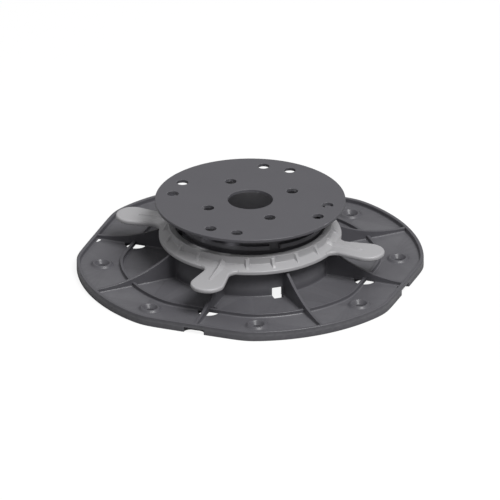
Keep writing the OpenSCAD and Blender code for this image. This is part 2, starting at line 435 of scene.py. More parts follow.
@dataclass(frozen=True)
class Ridge:
    """The section of a moulded rib: a flared foot, straight flanks, a rounded crest.

    half is half its width and edge the rounding of its crest. The foot spreads
    by flare, over flare_height but no more than flare_share of the rib's own
    height, and a greater flare_bow makes that spread more hollow.
    """

    half: float
    edge: float
    flare: float
    flare_height: float
    flare_share: float = 0.45
    flare_bow: float = 2.0

    def carry(self, shell: Shell, path: Array, foot: Array | float, crest: Array | float,
              closed: bool = False, narrow: Array | float = 1.0,
              flared: Array | float = 1.0) -> None:
        """Carries the section along a plan path.

        Up a flank the distance from the path is half + flare (1 - q)^bow over
        the foot, then half, then half - e + e cos t round the crest.

        Args:
            shell: Where the rib goes.
            path: Plan points (n, 2).
            foot: Height of the foot along the path.
            crest: Height of the crest along the path.
            closed: Whether the path is a closed loop.
            narrow: Factor on the width along the path.
            flared: Factor on the foot's flare along the path.
        """
        n = len(path)
        foot, crest, narrow, flared = (np.broadcast_to(np.asarray(v, float), n)
                                       for v in (foot, crest, narrow, flared))
        tall = crest - foot
        edge = np.minimum(np.minimum(self.edge, 0.9 * self.half * narrow), 0.5 * tall)
        spread = np.minimum(self.flare_height, self.flare_share * tall)
        q = np.linspace(0, 1, 5)[:, None]
        t = np.linspace(0, np.pi / 2, 5)[:, None]
        off = np.concatenate([self.half * narrow + self.flare * flared * (1 - q) ** self.flare_bow,
                              self.half * narrow - edge + edge * np.cos(t)])
        up = np.concatenate([foot + spread * q, crest - edge + edge * np.sin(t)])
        side = left_normals(path, closed)
        left = path[None] + off[..., None] * side[None]
        right = path[None] - off[..., None] * side[None]
        plan = np.concatenate([left, right[::-1]])
        height = np.concatenate([up, up[::-1]])[..., None]
        points = np.concatenate([plan, height], axis=2)
        if closed:
            shell.grid(points, wrap_rows=True, wrap_columns=True)
        else:
            shell.tube(points)


# ------------------------------------------------------------------- finishes

def socket(group: bpy.types.NodeTree, name: str, way: str, value: float | None = None) -> None:
    """Adds one number socket to a shader group's face.

    Args:
        group: The group.
        name: The socket's name.
        way: INPUT or OUTPUT.
        value: Its default, for an input.
    """
    made = group.interface.new_socket(name=name, in_out=way, socket_type="NodeSocketFloat")
    if value is not None:
        made.default_value = value


def math_node(tree: bpy.types.NodeTree, kind: str, a: object, b: object) -> bpy.types.NodeSocket:
    """Adds one Math node.

    Args:
        tree: Where it goes.
        kind: Its operation.
        a: First value, a socket or a number.
        b: Second value, a socket or a number.

    Returns:
        The node's output.
    """
    node = tree.nodes.new("ShaderNodeMath")
    node.operation = kind
    for place, value in zip(node.inputs, (a, b)):
        if isinstance(value, (int, float)):
            place.default_value = value
        else:
            tree.links.new(value, place)
    return node.outputs[0]


def noise(tree: bpy.types.NodeTree, vector: bpy.types.NodeSocket, scale: object,
          detail: float, roughness: float = 0.5) -> bpy.types.NodeSocket:
    """Adds one Noise Texture.

    Args:
        tree: Where it goes.
        vector: The place it reads.
        scale: Its scale, a socket or a number.
        detail: Its octaves.
        roughness: How strong the finer octaves are.

    Returns:
        The texture's value.
    """
    node = tree.nodes.new("ShaderNodeTexNoise")
    node.inputs["Detail"].default_value = detail
    node.inputs["Roughness"].default_value = roughness
    tree.links.new(vector, node.inputs["Vector"])
    if isinstance(scale, (int, float)):
        node.inputs["Scale"].default_value = scale
    else:
        tree.links.new(scale, node.inputs["Scale"])
    return node.outputs["Fac"]


def mould_grain_group() -> bpy.types.NodeTree:
    """Spark-eroded mould grain, the same on every moulding.

    Returns:
        A group whose Height is fine noise with a little coarse flow over it,
        and whose Mottle is a slow drift about 1 for colour and roughness.
    """
    flow_scale, flow_share, drift_scale = 55.0, 0.35, 26.0
    group = bpy.data.node_groups.new("mould_grain", "ShaderNodeTree")
    socket(group, "Grain Scale", "INPUT", 2600.0)
    socket(group, "Drift", "INPUT", 0.04)
    socket(group, "Height", "OUTPUT")
    socket(group, "Mottle", "OUTPUT")
    inlet, outlet = group.nodes.new("NodeGroupInput"), group.nodes.new("NodeGroupOutput")
    place = group.nodes.new("ShaderNodeTexCoord").outputs["Object"]
    fine = noise(group, place, inlet.outputs["Grain Scale"], 3.0, 0.6)
    flow = noise(group, place, flow_scale, 2.0)
    height = math_node(group, "ADD", fine, math_node(group, "MULTIPLY", flow, flow_share))
    group.links.new(height, outlet.inputs["Height"])
    slow = noise(group, place, drift_scale, 4.0, 0.62)
    centred = math_node(group, "SUBTRACT", slow, 0.5)
    drift = math_node(group, "MULTIPLY", centred, inlet.outputs["Drift"])
    group.links.new(math_node(group, "ADD", drift, 1.0), outlet.inputs["Mottle"])
    return group


def edge_wear_and_highlight_group() -> bpy.types.NodeTree:
    """Paler edges where a moulding is handled, which also paints highlights along its crests and
    edges.

    Returns:
        A group whose Mask is the surface's pointiness above a threshold,
        made steep and broken up by noise.
    """
    steepness, patch_scale, least = 12.0, 180.0, 0.3
    group = bpy.data.node_groups.new("edge_wear_and_highlight", "ShaderNodeTree")
    socket(group, "Reach", "INPUT", 0.53)
    socket(group, "Amount", "INPUT", 0.3)
    socket(group, "Mask", "OUTPUT")
    inlet, outlet = group.nodes.new("NodeGroupInput"), group.nodes.new("NodeGroupOutput")
    # Pointiness marks crests and edges for edge wear and for painted highlight.
    point = group.nodes.new("ShaderNodeNewGeometry").outputs["Pointiness"]
    place = group.nodes.new("ShaderNodeTexCoord").outputs["Object"]
    above = math_node(group, "SUBTRACT", point, inlet.outputs["Reach"])
    sharp = math_node(group, "MULTIPLY", above, steepness)
    patch = noise(group, place, patch_scale, 3.0)
    broken = math_node(group, "MULTIPLY", sharp, math_node(group, "ADD", patch, least))
    held = group.nodes.new("ShaderNodeClamp")
    group.links.new(broken, held.inputs["Value"])
    group.links.new(math_node(group, "MULTIPLY", held.outputs[0], inlet.outputs["Amount"]),
                    outlet.inputs["Mask"])
    return group


def settled_dust_group() -> bpy.types.NodeTree:
    """Fine dust that settles on faces turned up.

    Returns:
        A group whose Mask is the upward part of the normal, squared, times
        patchy noise.
    """
    patch_scale = 70.0
    group = bpy.data.node_groups.new("settled_dust", "ShaderNodeTree")
    socket(group, "Amount", "INPUT", 0.05)
    socket(group, "Mask", "OUTPUT")
    inlet, outlet = group.nodes.new("NodeGroupInput"), group.nodes.new("NodeGroupOutput")
    split = group.nodes.new("ShaderNodeSeparateXYZ")
    group.links.new(group.nodes.new("ShaderNodeNewGeometry").outputs["Normal"], split.inputs[0])
    up = math_node(group, "MAXIMUM", split.outputs["Z"], 0.0)
    place = group.nodes.new("ShaderNodeTexCoord").outputs["Object"]
    patch = noise(group, place, patch_scale, 5.0, 0.65)
    spread = math_node(group, "MULTIPLY", math_node(group, "MULTIPLY", up, up), patch)
    group.links.new(math_node(group, "MULTIPLY", spread, inlet.outputs["Amount"]),
                    outlet.inputs["Mask"])
    return group


@dataclass(frozen=True)
class MouldedPlastic:
    """Semi-matt injection-moulded plastic."""

    name: str
    colour: tuple[float, float, float]
    # Paler edge tone: edge wear, and painted highlight along crests and edges.
    wear_and_highlight_colour: tuple[float, float, float]
    roughness: float
    grain_scale: float
    grain_depth: float
    drift: float
    # How much of the paler edge tone is mixed in: wear and painted highlight.
    wear_and_highlight_amount: float
    dust: float
    dust_colour: tuple[float, float, float] = (0.42, 0.41, 0.39)

    def build(self, groups: dict[str, bpy.types.NodeTree]) -> bpy.types.Material:
        """Makes the material.

        Args:
            groups: The shared shader groups by name.

        Returns:
            Colour = plastic * mottle, mixed at edges to a paler tone that is wear and painted
            highlight, and to dust on top; roughness = its own * mottle; grain as a bump.
        """
        mat = bpy.data.materials.new(self.name)
        mat.use_nodes = True
        tree = mat.node_tree
        shader = tree.nodes["Principled BSDF"]
        grain = self._group(tree, groups["mould_grain"])
        grain.inputs["Grain Scale"].default_value = self.grain_scale
        grain.inputs["Drift"].default_value = self.drift
        wear_and_highlight_amount = self._group(tree, groups["edge_wear_and_highlight"])
        wear_and_highlight_amount.inputs["Amount"].default_value = self.wear_and_highlight_amount
        dust = self._group(tree, groups["settled_dust"])
        dust.inputs["Amount"].default_value = self.dust
        body = self._mix(tree, "MULTIPLY", 1.0, self.colour, grain.outputs["Mottle"])
        # Edges and crests mixed to the paler tone: edge wear and painted highlight.
        worn_and_highlit = self._mix(tree, "MIX", wear_and_highlight_amount.outputs["Mask"], body, self.wear_and_highlight_colour)
        dusty = self._mix(tree, "MIX", dust.outputs["Mask"], worn_and_highlit, self.dust_colour)
        tree.links.new(dusty, shader.inputs["Base Color"])
        rough = math_node(tree, "MULTIPLY", grain.outputs["Mottle"], self.roughness)
        tree.links.new(rough, shader.inputs["Roughness"])
        bump = tree.nodes.new("ShaderNodeBump")
        bump.inputs["Strength"].default_value = 1.0
        bump.inputs["Distance"].default_value = self.grain_depth
        tree.links.new(grain.outputs["Height"], bump.inputs["Height"])
        tree.links.new(bump.outputs["Normal"], shader.inputs["Normal"])
        return mat

    @staticmethod
    def _group(tree: bpy.types.NodeTree, group: bpy.types.NodeTree) -> bpy.types.Node:
        """Places a shared group in a material.

        Args:
            tree: The material's nodes.
            group: The group.

        Returns:
            The group's node.
        """
        node = tree.nodes.new("ShaderNodeGroup")
        node.node_tree = group
        return node

    @staticmethod
    def _mix(tree: bpy.types.NodeTree, blend: str, share: object, a: object,
             b: object) -> bpy.types.NodeSocket:
        """Mixes two colours; share, a and b are each a socket, a number or a colour.

        Args:
            tree: The material's nodes.
            blend: How they are mixed.
            share: How much of b is taken.
            a: First colour.
            b: Second colour.

        Returns:
            The mixed colour.
        """
        node = tree.nodes.new("ShaderNodeMix")
        node.data_type = "RGBA"
        node.blend_type = blend
        for place, value in ((node.inputs[0], share), (node.inputs[6], a), (node.inputs[7], b)):
            if isinstance(value, bpy.types.NodeSocket):
                tree.links.new(value, place)
            elif isinstance(value, tuple):
                place.default_value = (*value, 1.0)
            else:
                place.default_value = value
        return node.outputs[2]


# The paler edge tone and its amount paint highlights on crests and edges, besides edge wear.
DARK_PLASTIC = MouldedPlastic(
    name="dark_plastic", colour=(0.105, 0.103, 0.115), wear_and_highlight_colour=(0.25, 0.25, 0.265),
    roughness=0.34, grain_scale=2400.0, grain_depth=4e-5, drift=0.10, wear_and_highlight_amount=0.60, dust=0.03)
LIGHT_PLASTIC = MouldedPlastic(
    name="light_plastic", colour=(0.45, 0.446, 0.458), wear_and_highlight_colour=(0.56, 0.555, 0.565),
    roughness=0.34, grain_scale=2400.0, grain_depth=3e-5, drift=0.06, wear_and_highlight_amount=0.40, dust=0.02)


# ---------------------------------------------------------------------- head

@dataclass
class Head:
    """The round head: a drilled disc on a threaded stem. Angles are in degrees."""

    finish: bpy.types.Material
    top: float = 43.0
    disc_base: float = 41.1
    radius: float = 54.9
    rim_edge: float = 0.4
    hole_edge: float = 0.25
    centre_hole: float = 13.0
    fixing_hole: float = 3.25
    inner_circle: float = 26.62
    outer_circle: float = 45.14
    pair_half_angle: float = 10.24
    stem_radius: float = 40.8
    crest_radius: float = 43.0
    stem_inner: float = 37.9
    stem_foot: float = 8.5
    foot_edge: float = 0.3
    fillet: float = 0.6
    sunk: float = 0.2
    pitch: float = 6.0
    phase_angle: float = 290.0
    phase_height: float = 31.95
    turns: tuple[int, int] = (-4, 3)
    key_angle: float = 309.45
    gap_half_angle: float = 4.2
    gap_ease: float = 0.35
    lowest: float = 11.5
    highest: float = 37.6
    column_step: float = 1.25
    edge_columns: tuple[float, ...] = (-0.1, 0.05, 0.2, 0.35, 0.5)
    seam: float = 3.2
    row_gap: float = 0.0015
    ridge_section: tuple[tuple[float, float], ...] = (
        (-1.90, 0.0), (-1.72, 0.03), (-1.62, 0.16), (-1.36, 0.86), (-1.30, 0.95), (-1.16, 1.0),
        (1.16, 1.0), (1.30, 0.95), (1.36, 0.86), (1.62, 0.16), (1.72, 0.03), (1.90, 0.0), (3.0, 0.0))

    def build(self) -> list[bpy.types.Object]:
        """Builds the head as one piece.

        Returns:
            The piece.
        """
        shell = Shell()
        self._disc(shell)
        self._stem(shell)
        piece = shell.build("threaded_head", self.finish)
        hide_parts("head")
        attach(piece, Body.HEAD.value)
        return [piece]

    def _disc(self, shell: Shell) -> None:
        """The disc: a plate with a round rim and thirteen round holes.

        Args:
            shell: Where it goes.
        """
        side = rounded_side(self.disc_base, self.top, self.rim_edge, self.rim_edge)
        eased = rounded_side(self.disc_base, self.top, self.hole_edge, self.hole_edge, 3)
        rims = [Rim(circle(self.radius, 256), side, margin=self.rim_edge),
                Rim(circle(self.centre_hole, 96), eased, hole=True, margin=self.rim_edge)]
        pair = math.radians(self.pair_half_angle)
        for quarter in np.arange(4) * np.pi / 2:
            spots = [polar(self.inner_circle, quarter + np.pi / 4)]
            spots += [polar(self.outer_circle, quarter + way * pair) for way in (-1, 1)]
            rims += [Rim(circle(self.fixing_hole, 40, spot), eased, hole=True, margin=self.rim_edge)
                     for spot in spots]
        plate(shell, rims)

    def _columns(self) -> Array:
        """Columns round the stem: even, and close together at each gap's edge.

        Returns:
            Angles past the first key.
        """
        edge = self.gap_half_angle + np.array(self.edge_columns)
        near = np.concatenate([edge, 90 - edge])
        even = np.arange(0, 90, self.column_step)
        keep = even[np.abs(even[:, None] - near[None]).min(axis=1) > self.column_step / 4]
        quarter = np.sort(np.concatenate([keep, near]))
        return (quarter[None] + 90 * np.arange(4)[:, None]).ravel()

    def _middle_line(self, angle: Array) -> Array:
        """Height of the left-hand thread's middle line: z0 - pitch * angle / 360."""
        return self.phase_height - self.pitch * (angle - self.phase_angle) / 360

    def _thread(self, u: Array, low: float, high: float) -> tuple[Array, Array]:
        """The left-hand thread, broken by four key gaps.

        A row keeps a set distance from the middle line, one pitch apart for
        each turn, so the ridge's corners are rows; its radius is stem + depth
        * section * sector mask. In the first key gap, where the stem is
        plain, the rows ease to even heights so that the surface closes.

        Args:
            u: Angles past the first key.
            low: Lowest height of a row.
            high: Highest height of a row.

        Returns:
            Radii and heights (rows, columns).
        """
        angle = self.key_angle + u
        inside = np.mod(u, 90)
        ease = np.clip((np.minimum(inside, 90 - inside) - self.gap_half_angle) / self.gap_ease, 0, 1)
        ease = ease * ease * (3 - 2 * ease)
        section = np.array(self.ridge_section)
        rise = self.pitch * np.arange(*self.turns)
        centre = self._middle_line(self.key_angle + 45 + 90 * np.floor(u / 90))
        at_turn = centre[None] + rise[:, None]
        stands = ((at_turn > self.lowest) & (at_turn < self.highest)) * ease[None]
        z = self._middle_line(angle) + rise[:, None, None] + section[None, :, :1]
        z = z.reshape(-1, len(u))
        grow = (stands[:, None] * section[None, :, 1:]).reshape(-1, len(u))
        step = self.row_gap * (1 + np.arange(len(z)))[:, None]
        z = np.clip(z, low + step, high - step[::-1])
        even = np.linspace(low, high, len(z) + 2)[1:-1, None]
        seam = np.clip(np.minimum(u, 360 - u) / self.seam, 0, 1)[None]
        return (self.stem_radius + (self.crest_radius - self.stem_radius) * grow,
                seam * z + (1 - seam) * even)

    def _stem(self, shell: Shell) -> None:
        """The hollow stem: thread outside, a rounded foot, fillets up into the disc.

        Args:
            shell: Where it goes.
        """
        u = self._columns()
        low, high = self.stem_foot + self.foot_edge, self.disc_base - self.fillet
        radius, z = self._thread(u, low, high)
        ones = np.ones((1, 1, len(u)))
        foot = quarter_round(self.foot_edge)[:, :, None] * ones
        rise = quarter_round(self.fillet)[:, :, None] * ones
        inside_disc = (self.disc_base + self.sunk) * ones[0]
        r = np.concatenate([self.stem_radius - foot[:, 0], radius,
                            self.stem_radius + rise[:, 1],
                            (self.stem_radius + self.fillet) * ones[0],
                            (self.stem_inner - self.fillet) * ones[0],
                            self.stem_inner - rise[::-1, 1],
                            self.stem_inner + foot[::-1, 0]])
        height = np.concatenate([self.stem_foot + foot[:, 1], z,
                                 self.disc_base - rise[:, 0], inside_disc,
                                 inside_disc, self.disc_base - rise[::-1, 0],
                                 self.stem_foot + foot[::-1, 1]])
        plan = polar(r, np.radians(self.key_angle + u)[None])
        shell.grid(np.concatenate([plan, height[..., None]], axis=2), wrap_rows=True)


# ----------------------------------------------------------------------- nut

@dataclass(frozen=True)
class Web:
    """A web on the nut: its section, and its upper edge as (radius, height) points."""

    ridge: Ridge
    edge: tuple[tuple[float, float], ...]

    def crest(self, radius: Array, ease: float) -> Array:
        """Height of the upper edge, its corners eased by a running mean.

        Args:
            radius: Radii where it is wanted.
            ease: Length of the running mean.

        Returns:
            Heights.
        """
        fine = np.linspace(radius[0] - 1, radius[-1] + 1, 801)
        height = np.interp(fine, *np.array(self.edge).T)
        window = max(3, int(ease / (fine[1] - fine[0])))
        mean = np.convolve(np.pad(height, window, mode="edge"), np.ones(window) / window, mode="same")
        return np.interp(radius, fine, mean[window:-window])


@dataclass
class AdjustingNut:
    """The ring nut: collar and flange, gussets, four wings and an internal thread."""

    finish: bpy.types.Material
    base: float = 19.3
    top: float = 28.3
    bore: float = 43.5
    collar: float = 47.3
    flange: float = 52.6
    flange_top: float = 21.63
    shoulder: float = 24.0
    ring_rounding: tuple[float, ...] = (0.35, 0.7, 0.8, 0.9, 0.6, 0.4)
    wing_top: float = 22.2
    wing_edge: float = 1.15
    wing_reach: float = 81.7
    tip_radius: float = 9.9
    neck_half: float = 7.8
    neck_out: float = 4.4
    root_radius: float = 5.5
    root_overlap: float = 0.6
    gussets: int = 20
    gusset: Web = Web(Ridge(0.95, 0.5, 0.7, 0.9), (
        (46.0, 27.85), (47.3, 27.7), (47.9, 27.2), (49.9, 23.7), (51.1, 22.2), (51.75, 21.95)))
    wing_rib: Web = Web(Ridge(0.6, 0.5, 1.7, 3.0, 0.8, 1.15), (
        (46.0, 26.6), (47.3, 26.4), (48.0, 26.0), (50.3, 24.6), (55.6, 23.6), (68.5, 22.85)))
    web_ease: float = 0.5
    web_inset: float = 0.9
    web_fall: float = 0.9
    web_root: float = 1.1
    web_sunk: float = 0.25
    web_least: float = 0.12
    rib_bed: float = 21.0
    thread_crest: float = 41.25
    thread_root_half: float = 1.4
    thread_crest_half: float = 0.9
    thread_edge: float = 0.2
    thread_overlap: float = 0.5
    thread_arc: float = 78.0
    thread_start: float = 239.0
    pitch: float = 6.0

    def build(self) -> list[bpy.types.Object]:
        """Builds the nut as one piece.

        Returns:
            The piece.
        """
        shell = Shell()
        self._ring(shell)
        for k in range(self.gussets):
            if k % (self.gussets // 4):
                self._web(shell, k * TURN / self.gussets, self.gusset)
        for k in range(4):
            self._wing(shell, k * np.pi / 2)
            self._web(shell, k * np.pi / 2, self.wing_rib)
        for k in range(4):
            self._thread(shell, k)
        piece = shell.build("winged_nut", self.finish)
        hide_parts("adjusting_nut")
        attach(piece, Body.NUT.value)
        return [piece]

    def _ring(self, shell: Shell) -> None:
        """Collar and flange: one closed section turned round the axis.

        Args:
            shell: Where it goes.
        """
        corners = [(self.bore, self.base), (self.flange, self.base), (self.flange, self.flange_top),
                   (self.collar, self.shoulder), (self.collar, self.top), (self.bore, self.top)]
        turned_ring(shell, rounded_corners(corners, self.ring_rounding, 6), 288)

    def _slope(self, radius: Array) -> Array:
        """Height of the flange's sloping top: a straight fall from the collar to the rim."""
        run = np.clip((radius - self.collar) / (self.flange - self.collar), 0, 1)
        return self.shoulder + run * (self.flange_top - self.shoulder)

    def _web(self, shell: Shell, turn: float, web: Web) -> None:
        """A web from the collar outwards, its foot and its root flared.

        The upper edge falls away over its last stretch as a quarter ellipse.
        A web that runs out along a wing flares less and less towards its end.

        Args:
            shell: Where it goes.
            turn: Its angle in radians.
            web: Its section and upper edge.
        """
        end = web.edge[-1][0]
        on_wing = end > self.flange
        r = np.linspace(self.collar - self.web_inset, end, 61 if on_wing else 33)
        foot = np.where(r < self.flange - 0.3, self._slope(r), self.wing_top) - self.web_sunk
        if on_wing:
            bed = np.interp(r, [self.collar, self.flange - 1.0], [self.rib_bed, self.wing_top - 0.1])
            foot = np.maximum(foot, bed)
        past = np.clip((r - end + self.web_fall) / self.web_fall, 0, 0.985)
        fall = np.sqrt(1 - past ** 2)
        crest = foot + (web.crest(r, self.web_ease) - foot) * fall
        root = np.clip(1 - (r - self.collar) / self.web_root, 0, 1) ** 2
        along = np.clip((r - self.flange) / (self.wing_rib.edge[-1][0] - self.flange), 0, 1)
        path = turned(np.stack([r, np.zeros_like(r)], axis=1), turn)
        web.ridge.carry(shell, path, foot, np.maximum(crest, foot + self.web_least),
                        narrow=(1 + 0.7 * root) * (0.45 + 0.55 * fall), flared=1 - 0.8 * along)

    def _wing(self, shell: Shell, turn: float) -> None:
        """One wing: a flat plate with full round edges, rooted in the flange.

        The outline runs from inside the flange round a hollow root arc, out
        along the neck and round the tip.

        Args:
            shell: Where it goes.
            turn: Its angle in radians.
        """
        root_y = self.neck_half + self.root_radius
        root_x = math.sqrt((self.flange + self.root_radius) ** 2 - root_y ** 2)
        lean = math.atan2(root_y, root_x)
        tip_x = self.wing_reach - self.tip_radius
        slope = math.atan2(self.tip_radius - self.neck_half, tip_x - self.flange - self.neck_out)
        hollow = np.linspace(-np.pi + lean, -np.pi / 2 + slope, 15)
        arc = polar(self.root_radius, hollow) + (root_x, root_y)
        tip = polar(self.tip_radius, np.linspace(np.pi / 2 + slope, 0, 28)) + (tip_x, 0)
        flank = np.linspace(arc[-1], tip[0], 14)[1:-1]
        start = np.array([[self.collar + self.root_overlap, arc[0, 1]]])
        upper = np.concatenate([start, arc, flank, tip])
        lower = upper[::-1][1:] * (1, -1)
        outline = np.concatenate([upper, lower])[::-1]
        side = rounded_side(self.base, self.wing_top, self.wing_edge, self.wing_edge, 6)
        plate(shell, [Rim(turned(outline, turn), side)])

    def _thread(self, shell: Shell, k: int) -> None:
        """A length of the internal thread: a tapered section along z = z0 - pitch * angle / turn.

        Args:
            shell: Where it goes.
            k: Which of the four lengths.
        """
        middle = 0.5 * (self.base + self.top) - (k - 1.5) * self.pitch / 4
        off = np.radians(np.linspace(-0.5, 0.5, 53) * self.thread_arc)
        angle = off + math.radians(self.thread_start) + (k - 1.5) * np.pi / 2
        height = middle - self.pitch * off / TURN
        root, foot = self.bore + self.thread_overlap, self.thread_root_half + 0.1
        section = rounded_corners(
            [(root, -foot), (self.thread_crest, -self.thread_crest_half),
             (self.thread_crest, self.thread_crest_half), (root, foot)],
            [0.0, self.thread_edge, self.thread_edge, 0.0], 4)
        z = (section[:, 1:] + height[None])[..., None]
        shell.tube(np.concatenate([polar(section[:, :1], angle[None]), z], axis=2))


# ---------------------------------------------------------------------- base

@dataclass
class Base:
    """The ground plate: lip, ribs, screw bosses and the hub that carries the nut."""

    finish: bpy.types.Material
    plan: FlattedCircle = field(default_factory=lambda: FlattedCircle(100.0, 95.2, 0.9))
    ring: FlattedCircle = field(default_factory=lambda: FlattedCircle(75.2, 71.5, 1.1))
    plate: float = 3.2
    ground_edge: float = 0.35
    hole_edge: float = 0.25
    lip_top: float = 5.9
    lip_wall: float = 2.1
    lip_edge: float = 0.55
    foot_fillet: float = 0.7
    notch_half: float = 6.0
    notch_depth: float = 4.4
    notch_corner: float = 3.8
    notch_mouth: float = 0.5
    notch_lead: float = 3.0
    rib: Ridge = Ridge(0.9, 0.35, 0.6, 0.7)
    ring_top: float = 5.5
    toe: float = 5.5
    toe_inset: float = 5.0
    rib_head: float = 18.5
    rib_rise_top: float = 20.8
    screw_circle: float = 85.3
    drain_centre: float = 70.1
    drain: float = 6.15
    hub: float = 47.0
    hub_bore: float = 44.3
    hub_relief: float = 0.5
    hub_top: float = 19.0
    hub_rounding: tuple[float, ...] = (0.0, 0.0, 0.4, 0.4, 0.2, 0.0)
    key_foot: float = 8.6
    key_tip: float = 41.5
    key_half: float = 2.5
    key_corner: float = 0.4
    key_edge: float = 0.3
    key_sunk: float = 0.8
    key_angle: float = 309.45
    window_half: float = 3.2
    window_top: float = 8.0
    slot_reach: float = 51.0
    slot_mouth: float = 0.3
    slot_corner: float = 0.4
    slot_lead: float = 0.02
    boss_margin: float = 0.4
    boss: tuple[tuple[float, float], ...] = (
        (2.5, 0.0), (2.5, 2.0), (2.62, 2.25), (4.15, 4.2), (4.32, 4.42), (4.55, 4.52), (5.05, 4.52),
        (5.32, 4.45), (5.52, 4.3), (6.4, 3.48), (6.75, 3.27), (7.4, 3.2))

    def build(self) -> list[bpy.types.Object]:
        """Builds the base as one piece.

        Returns:
            The piece.
        """
        shell = Shell()
        self._ground_plate(shell)
        self._lip(shell)
        self._ring_rib(shell)
        for k in range(8):
            self._radial_rib(shell, k * np.pi / 4)
        self._hub(shell)
        piece = shell.build("ribbed_base", self.finish)
        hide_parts("base")
        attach(piece, Body.BASE.value)
        return [piece]

    def _notched_outline(self) -> Array:
        """The plate's outline: a flatted circle with a notch in each straight side.

        Returns:
            Points (count, 2), anticlockwise.
        """
        flat, half, lead = self.plan.flat, self.notch_half, self.notch_half + self.notch_lead
        inner = flat - self.notch_depth
        corners = [(flat, -lead), (flat, -half), (inner, -half),
                   (inner, half), (flat, half), (flat, lead)]
        rounding = [0, self.notch_mouth, self.notch_corner, self.notch_corner, self.notch_mouth, 0]
        h = self.plan.half_angle
        side = np.linspace(math.atan(lead / flat), h, 14)[1:]
        arc = np.linspace(h, np.pi / 2 - h, 49)[1:-1]
        run = np.concatenate([side, arc])
        quarter = np.concatenate([polar(self.plan.reach(-side[::-1]), -side[::-1]),
                                  rounded_corners(corners, rounding, 7),
                                  polar(self.plan.reach(run), run)])
        return np.concatenate([turned(quarter, k * np.pi / 2) for k in range(4)])

    def _slotted_bore(self) -> Array:
        """The plate's inner outline: the bore with a straight slot out under each window.

        Returns:
            Points (count, 2), anticlockwise.
        """
        r, half = self.hub_bore + self.hub_relief, self.window_half
        mouth = math.asin(half / r)
        edge, lead = r * math.cos(mouth), mouth + self.slot_lead
        corners = [polar(r, -lead), (edge, -half), (self.slot_reach, -half),
                   (self.slot_reach, half), (edge, half), polar(r, lead)]
        rounding = [0, self.slot_mouth, self.slot_corner, self.slot_corner, self.slot_mouth, 0]
        arc = polar(r, np.linspace(lead, np.pi / 2 - lead, 40)[1:-1])
        quarter = np.concatenate([rounded_corners(corners, rounding, 4), arc])
        key = math.radians(self.key_angle)
        return np.concatenate([turned(quarter, key + k * np.pi / 2) for k in range(4)])

    def _ground_plate(self, shell: Shell) -> None:
        """The flat plate with its notches, slots, drain holes and raised screw bosses.

        Args:
            shell: Where it goes.
        """
        outer = rounded_side(0.0, self.plate, self.ground_edge, 0.0)
        inner = rounded_side(0.0, self.plate, self.hole_edge, 0.0)
        hole = rounded_side(0.0, self.plate, self.hole_edge, self.hole_edge, 3)
        rims = [Rim(self._notched_outline(), outer), Rim(self._slotted_bore(), inner, hole=True)]
        boss = np.array(self.boss) - (self.boss[0][0], 0)
        for k in range(8):
            spot = polar(self.screw_circle, (k + 0.5) * np.pi / 4)
            rims.append(Rim(circle(self.boss[0][0], 48, spot), boss, hole=True,
                            margin=self.boss_margin))
        for k in range(4):
            spot = polar(self.drain_centre, k * np.pi / 2)
            rims.append(Rim(circle(self.drain, 56, spot), hole, hole=True))
        plate(shell, rims)

    def _lip(self, shell: Shell) -> None:
        """The lip: a wall along the outline with a round top and a fillet inside its foot.

        Args:
            shell: Where it goes.
        """
        path = self.plan.outline(64, 48)
        inward = left_normals(path)
        top = quarter_round(self.lip_edge)[::-1] * (1, -1) + (0, self.lip_top)
        back = quarter_round(self.lip_edge) * (-1, -1) + (self.lip_wall, self.lip_top)
        fillet = quarter_round(self.foot_fillet)
        foot = np.stack([self.lip_wall + fillet[:, 1], self.plate + fillet[:, 0]], axis=1)
        rows = np.concatenate([[[0.0, self.plate]], top, back, foot])
        plan = path[None] + rows[:, :1, None] * inward[None]
        z = np.broadcast_to(rows[:, 1:2, None], (*plan.shape[:2], 1))
        shell.grid(np.concatenate([plan, z], axis=2), wrap_rows=True)

    def _off_drains(self, path: Array) -> Array:
        """How far a path on the plate keeps off the drain holes.

        Args:
            path: Points (count, 2).

        Returns:
            1 along the path, 0 where it crosses a drain hole.
        """
        spots = polar(self.drain_centre, np.arange(4) * np.pi / 2)
        gap = np.linalg.norm(path[:, None] - spots[None], axis=2).min(axis=1)
        return np.clip((gap - self.drain - 0.1) / 0.8, 0, 1)

    def _ring_rib(self, shell: Shell) -> None:
        """The low rib round the plate: one section carried along a flatted circle.

        Args:
            shell: Where it goes.
        """
        path = self.ring.inset(self.rib.half).outline(64, 48)
        self.rib.carry(shell, path, self.plate, self.ring_top, closed=True,
                       flared=self._off_drains(path))

    def _radial_rib(self, shell: Shell, turn: float) -> None:
        """A radial rib whose upper edge is a hollow arc.

        z = toe + R - sqrt(R^2 - (x0 - r)^2), no higher than the rib's head,
        with R = (run^2 + rise^2) / (2 rise).

        Args:
            shell: Where it goes.
            turn: Its angle in radians.
        """
        straight = round(turn / (np.pi / 4)) % 2 == 0
        end = (self.plan.flat if straight else self.plan.radius) - self.lip_wall / 2
        x0 = self.plan.radius - self.toe_inset
        run, rise = x0 - self.hub, self.rib_rise_top - self.toe
        bend = (run * run + rise * rise) / (2 * rise)
        r = np.linspace(self.hub - 1.2, end, 97)
        crest = self.toe + bend - np.sqrt(bend ** 2 - np.clip(x0 - r, 0, None) ** 2)
        crest = np.minimum(crest, self.rib_head)
        path = turned(np.stack([r, np.zeros_like(r)], axis=1), turn)
        root = np.clip(1 - (r - self.hub) / 0.8, 0, 1) ** 2
        self.rib.carry(shell, path, self.plate, crest, narrow=1 + 0.6 * root,
                       flared=self._off_drains(path))

